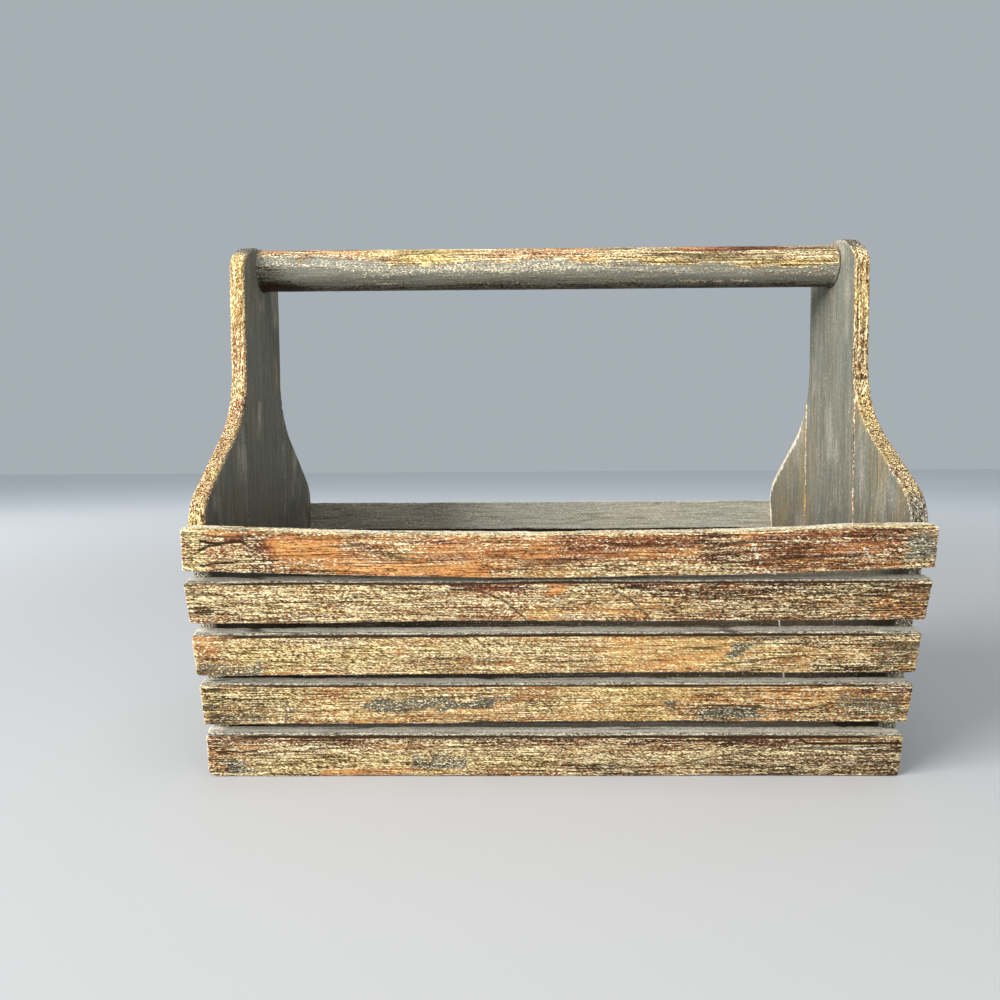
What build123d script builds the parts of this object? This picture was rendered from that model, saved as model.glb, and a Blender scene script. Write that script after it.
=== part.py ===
"""Slatted garden trug: two shaped end boards, five slats a side, bottom boards and a round handle.

Frame: +X runs along the slats, +Y to the back and +Z up. The origin is on the ground under the
middle of the basket. Lengths are in millimetres and angles in degrees.
"""

from build123d import *
from math import cos, radians, sin, tan
import os

# Slats
slat_length = 450.0
slat_width = 25.0
foot_slat_width = 28.8  # the lowest slat of each side is wider
slat_thickness = 9.5
slat_gap = 10.4
slat_arris = 0.8  # rounding of the long edges
slats_a_side = 5
top_front_sag = 4.0  # the top front slat is crooked and hangs this much lower in its middle

# Box
rim_width = 259.0  # over the outer faces, at the upper edge of the top slats
side_slope = 14.0  # how far the sides lean out from the vertical

# End boards, each glued up from a middle plank and two side planks
board_thickness = 11.0
end_inset = 1.0  # from the slats' ends to the outer face of the end board
middle_plank_width = 84.0
neck_width = 77.5
flare_height = 242.5  # where the neck's edge and the flare would meet if the corner were sharp
flare_angle = 38.0  # the flare's fall below the horizontal
hollow_radius = 66.0
shoulder_radius = 28.0
overall_height = 366.0
neck_crown = 20.5  # rise of the rounded top from the neck's edges to its middle
neck_corner_radius = 12.0
board_arris = 1.0  # bevel along the outline of both faces

# Bottom boards, held between the end boards and sharing the width between the lowest slats
bottom_boards = 5
bottom_board_thickness = 9.5
bottom_gap = 3.0
bottom_side_clearance = 1.0  # between the outer bottom boards and the lowest slats

# Handle
handle_diameter = 29.0
handle_cover = 2.4  # wood of the neck above the handle

# Brads, all alike
nail_diameter = 1.4
nail_length = 25.0
nail_head_diameter = 2.6
nail_head_height = 0.8
nail_point = 2.0
nail_set = 0.4  # depth of the head under the wood's surface
slat_nail_shares = (0.28, 0.70)  # of the slat's width, up from its lower edge
bottom_nail_shares = (-0.35, 0.35)  # of the bottom board's width, from its middle

# Handle screws
screw_diameter = 4.0
screw_length = 40.0
screw_head_diameter = 8.0
screw_point = 5.0
screw_recess_length = 4.6
screw_recess_width = 0.9
screw_recess_depth = 1.4

hole_clearance = 0.05  # around each nail and screw, on the radius
overrun = 1.0  # how far a cutting tool passes the face that it cuts

# Worked out from the sizes above
slope = radians(side_slope)
slat_pitch = slat_width + slat_gap
side_run = (slats_a_side - 1) * slat_pitch + foot_slat_width
foot_half = rim_width / 2 - side_run * sin(slope)  # outer face of the lowest slat at the ground
end_outer_x = slat_length / 2 - end_inset
end_inner_x = end_outer_x - board_thickness
end_mid_x = end_outer_x - board_thickness / 2
handle_height = overall_height - handle_cover - handle_diameter / 2
bottom_half = foot_half - slat_thickness * cos(slope) - bottom_side_clearance
bottom_board_width = (2 * bottom_half - (bottom_boards - 1) * bottom_gap) / bottom_boards


def board_edge_y(z):
    """Half width of the end board at height z: the inner face of the slats."""
    return foot_half + z * tan(slope) - slat_thickness / cos(slope)


def along_y(shape):
    """A tool or nail made along +Z from its head, laid along +Y."""
    return Rot(-90, 0, 0) * shape


def along_x(shape):
    """The same, laid along +X."""
    return Rot(0, 90, 0) * shape


def nail():
    """A brad with its head's top at the origin and its point up +Z."""
    shank = Cylinder(
        nail_diameter / 2,
        nail_length - nail_point,
        align=(Align.CENTER, Align.CENTER, Align.MIN),
    )
    head = Cylinder(
        nail_head_diameter / 2,
        nail_head_height,
        align=(Align.CENTER, Align.CENTER, Align.MIN),
    )
    point = Pos(0, 0, nail_length - nail_point) * Cone(
        nail_diameter / 2,
        nail_diameter / 8,
        nail_point,
        align=(Align.CENTER, Align.CENTER, Align.MIN),
    )
    return Pos(0, 0, nail_set) * (shank + head + point)


def nail_hole():
    """What a brad displaces, from above the wood's surface down to its point."""
    shank = Cylinder(
        nail_diameter / 2 + hole_clearance,
        nail_set + nail_length + hole_clearance,
        align=(Align.CENTER, Align.CENTER, Align.MIN),
    )
    head = Pos(0, 0, -overrun) * Cylinder(
        nail_head_diameter / 2 + hole_clearance,
        overrun + nail_set + nail_head_height + hole_clearance,
        align=(Align.CENTER, Align.CENTER, Align.MIN),
    )
    return shank + head


def screw_body(clearance, above):
    """A countersunk screw's outline turned round +Z, with its head's top at the origin."""
    shank_r = screw_diameter / 2 + clearance
    head_r = screw_head_diameter / 2 + clearance
    head_height = (screw_head_diameter - screw_diameter) / 2
    tip_z = screw_length + clearance
    corners = [(0, -above), (head_r, -above)]
    if above:
        corners.append((head_r, 0))
    corners += [(shank_r, head_height), (shank_r, tip_z - screw_point), (0, tip_z)]
    outline = make_face(Polyline(*corners, close=True))
    return revolve(Plane.XZ * outline, Axis.Z)


def screw():
    """A countersunk screw along +Z with a cross recess in its head."""
    slot = Box(
        screw_recess_length,
        screw_recess_width,
        screw_recess_depth,
        align=(Align.CENTER, Align.CENTER, Align.MIN),
    )
    return screw_body(0, 0) - slot - Rot(0, 0, 90) * slot


def bar(length, width, thickness, arris, sag):
    """A bar along X with its lower outer edge at the origin: width up +Z, thickness to +Y.

    A bar with sag hangs lower in its middle and keeps its ends where they are.
    """
    half = length / 2
    if sag:
        under = ThreePointArc((-half, 0), (0, -sag), (half, 0))
        over = ThreePointArc((half, width), (0, width - sag), (-half, width))
    else:
        under = Line((-half, 0), (half, 0))
        over = Line((half, width), (-half, width))
    outline = make_face([under, Line((half, 0), (half, width)), over, Line((-half, width), (-half, 0))])
    solid = Pos(0, thickness, 0) * extrude(Plane.XZ * outline, thickness)
    long_edges = solid.edges().filter_by(lambda edge: edge.length > length / 2)
    return fillet(long_edges, arris)


def on_side(turn, run):
    """Placement of a bar on a side, run along the slope from the ground. turn is 0 or 180."""
    return Rot(0, 0, turn) * Pos(0, -foot_half, 0) * Rot(side_slope, 0, 0) * Pos(0, 0, run)


def slat_rows():
    """Run along the slope and width of each slat, from the top one down."""
    rows = [(foot_slat_width + slat_gap + n * slat_pitch, slat_width) for n in range(slats_a_side - 1)]
    return rows[::-1] + [(0, foot_slat_width)]


def slat_nail_places(turn, end):
    """Placement of each nail of one side's slats at one end, from the top slat down."""
    return [
        on_side(turn, run + share * width) * Pos(end * end_mid_x, 0, 0)
        for run, width in slat_rows()
        for share in slat_nail_shares
    ]


def end_outline():
    """Outline of a whole end board in its own plane: x is across the basket and y is up."""
    neck_half = neck_width / 2
    fall = tan(radians(flare_angle))
    # The flare falls from the neck's edge until it meets the board's slanted edge.
    meet_y = (board_edge_y(0) + flare_height * tan(slope) + neck_half * fall * tan(slope)) / (
        1 + fall * tan(slope)
    )
    meet_z = flare_height - (meet_y - neck_half) * fall
    spring_z = overall_height - neck_crown
    corners = [(board_edge_y(0), 0), (meet_y, meet_z), (neck_half, flare_height), (neck_half, spring_z)]
    right = Polyline(*corners)
    top = ThreePointArc((neck_half, spring_z), (0, overall_height), (-neck_half, spring_z))
    left = Polyline(*[(-y, z) for y, z in reversed(corners)])
    foot = Line((-board_edge_y(0), 0), (board_edge_y(0), 0))
    face = make_face([right, top, left, foot])
    for height, radius in (
        (spring_z, neck_corner_radius),
        (flare_height, hollow_radius),
        (meet_z, shoulder_radius),
    ):
        near = face.vertices().filter_by(lambda v: abs(v.Y - height) < board_arris)
        face = fillet(near, radius)
    return face


def end_board():
    """A whole end board across X, with its thickness from 0 to +X, before its planks are parted."""
    solid = extrude(Plane.YZ * end_outline(), board_thickness)
    outline_edges = solid.edges().filter_by(Axis.X, reverse=True)
    return chamfer([edge for edge in outline_edges if edge.center().Z > board_arris], board_arris)


def handle_screw_place(end):
    """The screw's head is flush with the end board's outer face, and it points inwards."""
    turn = 180 if end > 0 else 0
    return Pos(end * end_outer_x, 0, handle_height) * Rot(0, 0, turn)


def bottom_board_rows():
    """The middle of each bottom board across the basket."""
    first = bottom_board_width / 2 - bottom_half
    return [first + n * (bottom_board_width + bottom_gap) for n in range(bottom_boards)]


def bottom_nail_places(end):
    """Placement of each nail through one end board into the ends of the bottom boards."""
    turn = 180 if end > 0 else 0
    return [
        Pos(end * end_outer_x, row + share * bottom_board_width, bottom_board_thickness / 2) * Rot(0, 0, turn)
        for row in bottom_board_rows()
        for share in bottom_nail_shares
    ]


def save(name, shape):
    """Write one sub-part as parts/name.step. Several solids go in as one compound."""
    solids = shape if isinstance(shape, list) else [shape]
    single = solids[0] if len(solids) == 1 else Compound(children=solids)
    single.label = name
    export_step(single, os.path.join("parts", name + ".step"))


def make_slats(side, turn):
    """The slats of one side, each with its nail holes."""
    holes = [place * along_y(nail_hole()) for end in (-1, 1) for place in slat_nail_places(turn, end)]
    for number, (run, width) in enumerate(slat_rows(), start=1):
        sag = top_front_sag if (side, number) == ("front", 1) else 0
        slat = on_side(turn, run) * bar(slat_length, width, slat_thickness, slat_arris, sag)
        save(f"{side}_slat_{number}", slat - holes)


def make_end(name, end):
    """The three planks of one end board, with the holes of every nail and screw that enters them."""
    whole = Pos(end_inner_x if end > 0 else -end_outer_x, 0, 0) * end_board()
    holes = [
        place * along_y(nail_hole())
        for turn, turned_end in ((0, end), (180, -end))
        for place in slat_nail_places(turn, turned_end)
    ]
    holes += [place * along_x(nail_hole()) for place in bottom_nail_places(end)]
    holes += [handle_screw_place(end) * along_x(screw_body(hole_clearance, overrun))]
    drilled = whole - holes
    reach = rim_width
    middle = Pos(end * end_mid_x, 0, overall_height / 2) * Box(
        board_thickness + 2 * overrun, middle_plank_width, overall_height + 2 * overrun
    )
    save(f"{name}_end_middle_plank", drilled & middle)
    for side, sign in (("front", -1), ("back", 1)):
        beyond = Pos(end * end_mid_x, sign * (middle_plank_width + reach) / 2, overall_height / 2) * Box(
            board_thickness + 2 * overrun, reach, overall_height + 2 * overrun
        )
        save(f"{name}_end_{side}_plank", drilled & beyond)


def make_bottom():
    """The bottom boards, with the holes of the nails in their ends."""
    length = 2 * end_inner_x
    holes = [place * along_x(nail_hole()) for end in (-1, 1) for place in bottom_nail_places(end)]
    for number, row in enumerate(bottom_board_rows(), start=1):
        lying = Pos(0, row - bottom_board_width / 2, bottom_board_thickness) * Rot(-90, 0, 0)
        board = lying * bar(length, bottom_board_width, bottom_board_thickness, slat_arris, 0)
        save(f"bottom_board_{number}", board - holes)


def make_handle():
    """The round handle between the necks, with a pilot hole for a screw in each end."""
    rod = Pos(0, 0, handle_height) * Rot(0, 90, 0) * Cylinder(handle_diameter / 2, 2 * end_inner_x)
    holes = [handle_screw_place(end) * along_x(screw_body(hole_clearance, overrun)) for end in (-1, 1)]
    save("handle_rod", rod - holes)


def make_fasteners():
    """The nails and screws, grouped by where they are driven."""
    for name, end in (("left", -1), ("right", 1)):
        for side, turn, turned_end in (("front", 0, end), ("back", 180, -end)):
            places = slat_nail_places(turn, turned_end)
            save(f"{side}_{name}_slat_nails", [place * along_y(nail()) for place in places])
        save(f"{name}_bottom_nails", [place * along_x(nail()) for place in bottom_nail_places(end)])
        save(f"{name}_handle_screw", handle_screw_place(end) * along_x(screw()))


os.makedirs("parts", exist_ok=True)
make_slats("front", 0)
make_slats("back", 180)
make_end("left", -1)
make_end("right", 1)
make_bottom()
make_handle()
make_fasteners()
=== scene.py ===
"""Slatted trug basket: the rough-sawn, painted and worn look of its boards, rod and fasteners.

Lengths are in metres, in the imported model's frame: +X along the slats, +Y to the back and +Z up. The cells
of the noises are in millimetres, and so are the tables of wear that say so.
"""

from math import asin, cos, pi, radians, sin, sqrt, tan

import bmesh
import bpy
import numpy as np
from mathutils import Matrix, Vector


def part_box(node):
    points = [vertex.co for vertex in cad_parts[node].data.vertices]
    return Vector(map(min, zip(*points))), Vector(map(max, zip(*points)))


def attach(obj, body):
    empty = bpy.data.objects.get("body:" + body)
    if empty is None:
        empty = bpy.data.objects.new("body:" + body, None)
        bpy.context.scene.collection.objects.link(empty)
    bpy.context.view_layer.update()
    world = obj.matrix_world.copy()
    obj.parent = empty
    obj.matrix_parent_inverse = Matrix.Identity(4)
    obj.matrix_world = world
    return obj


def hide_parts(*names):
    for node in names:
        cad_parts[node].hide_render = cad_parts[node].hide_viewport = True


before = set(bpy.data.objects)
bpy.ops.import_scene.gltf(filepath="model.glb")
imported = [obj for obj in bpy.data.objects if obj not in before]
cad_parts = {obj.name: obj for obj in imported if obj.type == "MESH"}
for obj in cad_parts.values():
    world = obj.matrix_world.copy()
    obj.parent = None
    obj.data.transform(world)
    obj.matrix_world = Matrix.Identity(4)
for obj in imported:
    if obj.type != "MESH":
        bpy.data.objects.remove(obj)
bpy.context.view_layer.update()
mm = 0.001

# Slats
slat_length = 450 * mm
slat_width = 25 * mm
foot_slat_width = 28.8 * mm
slat_thickness = 9.5 * mm
slat_gap = 10.4 * mm
slats_a_side = 5
side_slope = radians(14)
rim_width = 259 * mm

# End boards
board_thickness = 11 * mm
end_inset = 1 * mm
middle_plank_width = 84 * mm
neck_width = 77.5 * mm
flare_height = 242.5 * mm
flare_angle = radians(38)
hollow_radius = 66 * mm
shoulder_radius = 28 * mm
overall_height = 366 * mm
neck_crown = 20.5 * mm
neck_corner_radius = 12 * mm

# Bottom boards and handle
bottom_boards = 5
bottom_board_thickness = 9.5 * mm
handle_diameter = 29 * mm
handle_cover = 2.4 * mm

# Brads and screws
nail_head_diameter = 2.6 * mm
nail_set = 0.4 * mm
slat_nail_shares = (0.28, 0.70)
screw_head_diameter = 8 * mm

# Worked out from the sizes above
slat_pitch = slat_width + slat_gap
side_run = (slats_a_side - 1) * slat_pitch + foot_slat_width
foot_half = rim_width / 2 - side_run * sin(side_slope)
glue_joint = middle_plank_width / 2
rear_stretch = (glue_joint - 2 * mm, glue_joint + 8 * mm)
end_outer_x = slat_length / 2 - end_inset
end_inner_x = end_outer_x - board_thickness
end_mid_x = end_outer_x - board_thickness / 2
handle_height = overall_height - handle_cover - handle_diameter / 2

# Warp and wear of the whole pieces, with -1 for the left end board and 1 for the right one
slat_wear = 0.7
drawn_depth = 0.5 * mm
back_lift = 3.0 * mm
back_lift_stretch = (-222 * mm, -196 * mm)
back_sag = 2.6 * mm
underside_drop = 1.9 * mm
board_bevel = 0.9 * mm
toe_in = {-1: 1.6 * mm, 1: 3.0 * mm}
toe_in_stretch = (15 * mm, 125 * mm)
crown_wear = {-1: 1.6 * mm, 1: -0.8 * mm}
crown_wear_stretch = (345 * mm, 366 * mm)
split_height = 262 * mm
split_reach = 0.9 * mm
joint_tolerance = 0.01 * mm
bridge_reach = 2.4 * mm

# Marks on the slats, and the stretches over which they come in, along a slat or from its outer face inward
right_soot = 0.07
soot_stretch = (-30 * mm, 150 * mm)
# The painted shadow of the left end board on back slat 1's inner face comes in over this stretch
shadow_stretch = (50 * mm, 95 * mm)
dust_stretch = (2.0 * mm, 6.0 * mm)
soiled_stretch = (0.8 * mm, 1.6 * mm)
front_stretch = (2.5 * mm, 5.5 * mm)
chipped_stretch = (1.5 * mm, 3.5 * mm)
worn_end_reach = 7 * mm
unlined_end_reach = 30 * mm
nail_depth_reach = 2 * mm
arris_reach = 1.6 * mm
arris_line_depth = 0.9 * mm
lit_line_drop = 0.8 * mm
lit_line_reach = 0.45 * mm
speckle_depth = 2.3 * mm
speckle_reach = 1.3 * mm

# How each end board is worn, and how much shade is painted low on its inner face: the left one, at -1, lies
# in shade and the right one is lit
end_looks = {
    -1: {"cream": 0.56, "cream_drift": 0.2, "warm": 0.25, "dark": 0.25, "crown_dark": 0.30, "low_dark": 0.18,
         "seam": 0.25, "smear": 0.5, "shade": 0.70, "pale": 0.32, "crown_pale": 0.12,
         "arris_depth": 0.9 * mm},
    1: {"cream": 0.59, "cream_drift": 0.1, "warm": 0.20, "dark": 0.38, "crown_dark": 0.16, "low_dark": 0.05,
        "seam": 1.0, "smear": 0.3, "shade": 0.62, "pale": 0, "crown_pale": 0, "arris_depth": 2.1 * mm},
}
# Stretches over which marks on the end boards come in or fade out: heights, then distances
slatted_stretch = (163 * mm, 168 * mm)
smear_stretch = (178 * mm, 188 * mm)
low_rear_stretch = (180 * mm, 200 * mm)
foot_rim_stretch = (195 * mm, 250 * mm)
low_rim_stretch = (225 * mm, 285 * mm)
crown_stretch = (350 * mm, 358 * mm)
seam_stretch = (130 * mm, 165 * mm)
shade_stretch = (110 * mm, 215 * mm)
deep_shade_stretch = (70 * mm, 120 * mm)
cool_stretch = (22 * mm, 50 * mm)
cool_centre = -8 * mm
rim_stretch = (1.5 * mm, 3 * mm)
seam_wear_stretch = (0.8 * mm, 2.8 * mm)
glue_groove_stretch = (0.3 * mm, 1.2 * mm)
glue_line_stretch = (0.15 * mm, 0.6 * mm)
arris_line_reach = 0.7 * mm
ring_stretch = (-6 * mm, 6 * mm)
ring_radius = 19 * mm
ring_reach = 5 * mm

# Places along the rod over which marks come in, and then fade out where two more are given
rod_right = (10 * mm, 70 * mm)
rod_rises = ((0.27, 10 * mm, 100 * mm), (0.25, -175 * mm, -120 * mm), (0.08, 130 * mm, 180 * mm))
rod_flakes = (-150 * mm, -60 * mm)
rod_smudge = (-208 * mm, -168 * mm)
rod_browned = (86 * mm, 104 * mm, 168 * mm, 188 * mm)
rod_low_lines = ((-136 * mm, -124 * mm, -92 * mm, -78 * mm), (84 * mm, 98 * mm, 146 * mm, 158 * mm))
rod_drawn = (92 * mm, 108 * mm, 162 * mm, 178 * mm)
crease_stretch = (0.3 * mm, 1.1 * mm)
rod_yellow_place = -89 * mm
rod_yellow_reach = 38 * mm
drawn_line_shares = (0.40, 0.24, 0.08)

# Spacing of mesh points
along_grain = 1.7 * mm
across_grain = 0.45 * mm
near_end = 0.6 * mm
end_zone = 14 * mm
board_voxel = 1.0 * mm
rod_step = 1.5 * mm
rod_near_end = 0.5 * mm
rod_end_zone = 6 * mm
rod_sides = 160

# Materials
hatch_turn = radians(-33)
finish_depth = 0.45 * mm
specular_level = 0.12
rust_spot = 0.9 * mm
rust_depth = 0.05 * mm

# Stage: its floor, and each light's name, place, size and power
floor_reach = 12
floor_drop = 1.4 * mm
floor_glow_stretch = (0.4, 3.2)
cloud_size = 1.3
cloud_depth = 0.1 * mm
lamp_aim = (0, 0, 0.15)
lamps = (
    ("key_light", (-2.70, -1.90, 1.70), 2.0, 252),
    ("top_light", (0.1, -0.85, 1.85), 1.4, 22),
    ("fill_light", (2.0, -0.6, 0.8), 1.6, 4),
)

# Camera, fitted to the photograph
camera_place = (-27.73 * mm, -571.49 * mm, 206.77 * mm)
camera_yaw = -0.013
camera_pitch = 0.054
camera_roll = 0.006
focal_pixels = 751
image_pixels = 1000
sensor = 36
nearest_seen = 10 * mm


# Steady noise in numpy

def hashed(cells, seed):
    """A steady random number from -1 to 1 for each whole-number cell."""
    mask = 0xFFFFFFFF
    n = cells[..., 0] * 73856093 ^ cells[..., 1] * 19349663 ^ cells[..., 2] * 83492791
    n = (n ^ (seed * 2654435761 & mask)) & mask
    n = (n ^ (n >> 13)) * 1274126177 & mask
    n = (n ^ (n >> 16)) * 2246822519 & mask
    return (n ^ (n >> 15)) / mask * 2 - 1


def soft_noise(points, size, seed):
    """Smooth noise from -1 to 1, with cells of this size in millimetres along each axis."""
    scaled = points / (np.array(size) * mm)
    cell = np.floor(scaled).astype(np.int64)
    f = scaled - cell
    f = f * f * f * (f * (f * 6 - 15) + 10)
    total = np.zeros(len(points))
    for corner in np.ndindex(2, 2, 2):
        weight = np.prod(np.where(corner, f, 1 - f), axis=1)
        total += weight * hashed(cell + np.array(corner), seed)
    return total


def rough_noise(points, size, seed, octaves=3):
    """Smooth noise with finer noise on it."""
    size = np.array(size, float)
    total = np.zeros(len(points))
    for octave in range(octaves):
        total += soft_noise(points, size / 2**octave, seed + octave) / 2**octave
    return total / 1.5


def rise(value, low, high):
    """0 below low, 1 above high and smooth between them."""
    t = np.clip((value - low) / (high - low), 0, 1)
    return t * t * (3 - 2 * t)


def fade(value, low, high):
    """1 below low, 0 above high and smooth between them."""
    return 1 - rise(value, low, high)


def plateau(value, low, full, falling, high):
    """0 below low, 1 from full to falling, 0 above high and smooth between them."""
    return rise(value, low, full) * fade(value, falling, high)


def between(value, low, high, soft):
    """1 from low to high and 0 elsewhere, smooth within this distance of each."""
    return plateau(value, low - soft, low + soft, high - soft, high + soft)


def bell(value, width):
    """1 at zero, and falling smoothly away on both sides within about twice the width."""
    return np.exp(-((value / width) ** 2))


# Mesh helpers

def box_grid(xs, ys, zs):
    """Points and quads of a box's surface, ruled at these places along each axis."""
    counts = (len(xs), len(ys), len(zs))
    strides = np.array((counts[1] * counts[2], counts[2], 1))
    quads = []
    for axis in range(3):
        a, b = (axis + 1) % 3, (axis + 2) % 3
        i, j = np.meshgrid(np.arange(counts[a] - 1), np.arange(counts[b] - 1), indexing="ij")
        for last in (False, True):
            corners = []
            for step_a, step_b in ((0, 0), (1, 0), (1, 1), (0, 1)):
                index = np.zeros(i.shape + (3,), int)
                index[..., axis] = counts[axis] - 1 if last else 0
                index[..., a] = i + step_a
                index[..., b] = j + step_b
                corners.append(index @ strides)
            quads.append(np.stack(corners if last else corners[::-1], -1).reshape(-1, 4))
    codes, quads = np.unique(np.concatenate(quads), return_inverse=True)
    rows = (codes // strides[0], codes // strides[1] % counts[1], codes % counts[2])
    points = np.stack([places[row] for places, row in zip((xs, ys, zs), rows)], -1)
    return points, quads.reshape(-1, 4)


def rounded(points, low, high, radius):
    """Box surface points pulled onto a box with rounded edges, and their outward directions."""
    inner = np.clip(points, low + radius[:, None], high - radius[:, None])
    out = points - inner
    normals = out / np.maximum(np.linalg.norm(out, axis=1, keepdims=True), 1e-9)
    return inner + normals * radius[:, None], normals


def ruled(low, high, step, zone=0, zone_step=0):
    """Places from low to high about a step apart, and closer within a zone at each end."""
    middle = np.linspace(low + zone, high - zone, max(2, round((high - low - 2 * zone) / step) + 1))
    if not zone:
        return middle
    ends = np.linspace(0, zone, round(zone / zone_step) + 1)[:-1]
    return np.concatenate([low + ends, middle, (high - ends)[::-1]])


def line_distance(places, line):
    """How far each place in a plane lies from a line of points."""
    nearest = np.full(len(places), 1.0)
    for a, b in zip(line, line[1:]):
        a, b = np.array(a), np.array(b)
        run = b - a
        share = np.clip(((places - a) @ run) / max(run @ run, 1e-12), 0, 1)
        nearest = np.minimum(nearest, np.linalg.norm(places - a - share[:, None] * run, axis=1))
    return nearest


def add_object(name, data):
    """An object of this data, in the scene."""
    made = bpy.data.objects.new(name, data)
    bpy.context.scene.collection.objects.link(made)
    return made


def make_object(name, points, faces):
    """A smooth mesh object in the model's frame."""
    mesh = bpy.data.meshes.new(name)
    mesh.from_pydata(points.tolist(), [], faces)
    mesh.shade_smooth()
    return add_object(name, mesh)


def paint(piece, name, channels):
    """Stores four numbers for each point, or the same one for all, for the material to read."""
    values = np.stack(np.broadcast_arrays(*channels), -1).astype(np.float32)
    layer = piece.data.attributes.new(name, "FLOAT_COLOR", "POINT")
    layer.data.foreach_set("color", np.clip(values, 0, 1).ravel())


def finish_piece(piece, material, node):
    """Gives a piece its material, hangs it under the root body and hides the node that it stands for."""
    piece.data.materials.append(material)
    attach(piece, "root")
    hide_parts(node)


# Node helpers

class Graph:
    """Short names for the nodes of one material."""

    def __init__(self, name):
        self.material = bpy.data.materials.new(name)
        self.material.use_nodes = True
        self.tree = self.material.node_tree
        self.tree.nodes.clear()
        self.place = self.node("ShaderNodeTexCoord").outputs["Object"]

    def node(self, kind, inputs=None, **settings):
        node = self.tree.nodes.new(kind)
        for key, value in settings.items():
            setattr(node, key, value)
        for socket, value in (inputs or {}).items():
            if isinstance(value, bpy.types.NodeSocket):
                self.tree.links.new(value, node.inputs[socket])
            else:
                node.inputs[socket].default_value = value
        return node

    def math(self, operation, a, b=0.0, clamp=False):
        return self.node("ShaderNodeMath", {0: a, 1: b}, operation=operation, use_clamp=clamp).outputs[0]

    def minus(self, a, b):
        return self.math("SUBTRACT", a, b)

    def times(self, a, b):
        return self.math("MULTIPLY", a, b)

    def blend(self, *parts):
        """The sum of some values, each times its share."""
        total = None
        for share, value in parts:
            part = self.times(value, share)
            total = part if total is None else self.math("ADD", total, part)
        return total

    def noise(self, size, detail=3.0, roughness=0.55, turn=0.0, shift=0.0):
        """Noise from 0 to 1 with cells of this size along each axis. turn slants it in the XZ plane."""
        source = self.place
        if turn:
            source = self.node("ShaderNodeMapping", {"Vector": source, "Rotation": (0, turn, 0)}).outputs[0]
        scale = tuple(1 / s for s in size)
        mapped = self.node("ShaderNodeMapping", {"Vector": source, "Scale": scale, "Location": (shift,) * 3})
        made = self.node("ShaderNodeTexNoise", {"Vector": mapped.outputs[0], "Scale": 1.0, "Detail": detail,
                                                "Roughness": roughness})
        return self.step(made.outputs["Fac"], 0.27, 0.73, "LINEAR")

    def step(self, value, low, high, kind="SMOOTHSTEP"):
        made = self.node("ShaderNodeMapRange", {"Value": value, "From Min": low, "From Max": high},
                         interpolation_type=kind)
        return made.outputs["Result"]

    def ramp(self, value, stops):
        made = self.node("ShaderNodeValToRGB", {"Fac": value})
        band = made.color_ramp
        while len(band.elements) < len(stops):
            band.elements.new(1.0)
        for element, (place, colour) in zip(band.elements, stops):
            element.position = place
            element.color = (*colour, 1)
        return made.outputs["Color"]

    def mix(self, share, a, b, kind="MIX"):
        made = self.node("ShaderNodeMix", data_type="RGBA", blend_type=kind)
        for index, value in {0: share, 6: a, 7: b}.items():
            if isinstance(value, bpy.types.NodeSocket):
                self.tree.links.new(value, made.inputs[index])
            else:
                made.inputs[index].default_value = value if index == 0 else (*value, 1)
        return made.outputs[2]

    def channels(self, name):
        """The four numbers of a painted layer."""
        read = self.node("ShaderNodeAttribute", attribute_name=name)
        split = self.node("ShaderNodeSeparateColor", {"Color": read.outputs["Color"]})
        return [*split.outputs, read.outputs["Alpha"]]

    def close(self, colour, roughness, height, depth, **shader):
        """Ends the material with its bump and surface."""
        bump = self.node("ShaderNodeBump", {"Height": height, "Distance": depth, "Strength": 1.0})
        inputs = {"Base Color": colour, "Roughness": roughness, "Normal": bump.outputs[0]}
        inputs["Specular IOR Level"] = specular_level
        inputs.update({key.replace("_", " "): value for key, value in shader.items()})
        surface = self.node("ShaderNodeBsdfPrincipled", inputs)
        self.node("ShaderNodeOutputMaterial", {"Surface": surface.outputs[0]})
        return self.material


# Colours

# night is the dark of pores and cracks, and the colour that painted shade goes toward
night = (0.036, 0.019, 0.008)
umber = (0.070, 0.024, 0.014)
maroon = (0.155, 0.050, 0.024)
russet = (0.320, 0.120, 0.045)
amber = (0.560, 0.225, 0.062)
tangerine = (0.690, 0.335, 0.110)
honey = (0.780, 0.470, 0.185)
straw = (0.860, 0.640, 0.300)
cream_shadow = (0.095, 0.052, 0.021)
cream_middle = (0.480, 0.335, 0.145)
cream = (0.860, 0.680, 0.365)
cream_light = (1.000, 0.875, 0.570)
butter_tint = (1.0, 0.93, 0.68)
chalk = (0.880, 0.770, 0.590)
paint_dark = (0.105, 0.103, 0.082)
paint_pale = (0.285, 0.270, 0.205)
paint_cool = (0.243, 0.262, 0.208)
paint_tan = (0.365, 0.300, 0.165)
dust = (0.740, 0.670, 0.550)
fleck_cream = (0.875, 0.780, 0.535)
nail_metal = (0.420, 0.300, 0.160)
nail_rust = (0.160, 0.090, 0.040)
screw_metal = (0.320, 0.310, 0.290)
screw_paint = (0.160, 0.170, 0.140)
# The floor's colours: darker near the basket and lighter far off, painted light and shade that even out the
# lamps' falloff
floor_near_painted_shade = (0.400, 0.400, 0.400)
floor_far_painted_light = (0.840, 0.860, 0.880)
sky = (0.386, 0.429, 0.462)

wood_stop_shares = (0.0, 0.18, 0.36, 0.54, 0.72, 0.88, 1.0)
cream_stop_shares = (0.0, 0.45, 0.80, 1.0)
paint_stop_shares = (0.20, 0.40, 0.85)


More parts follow.
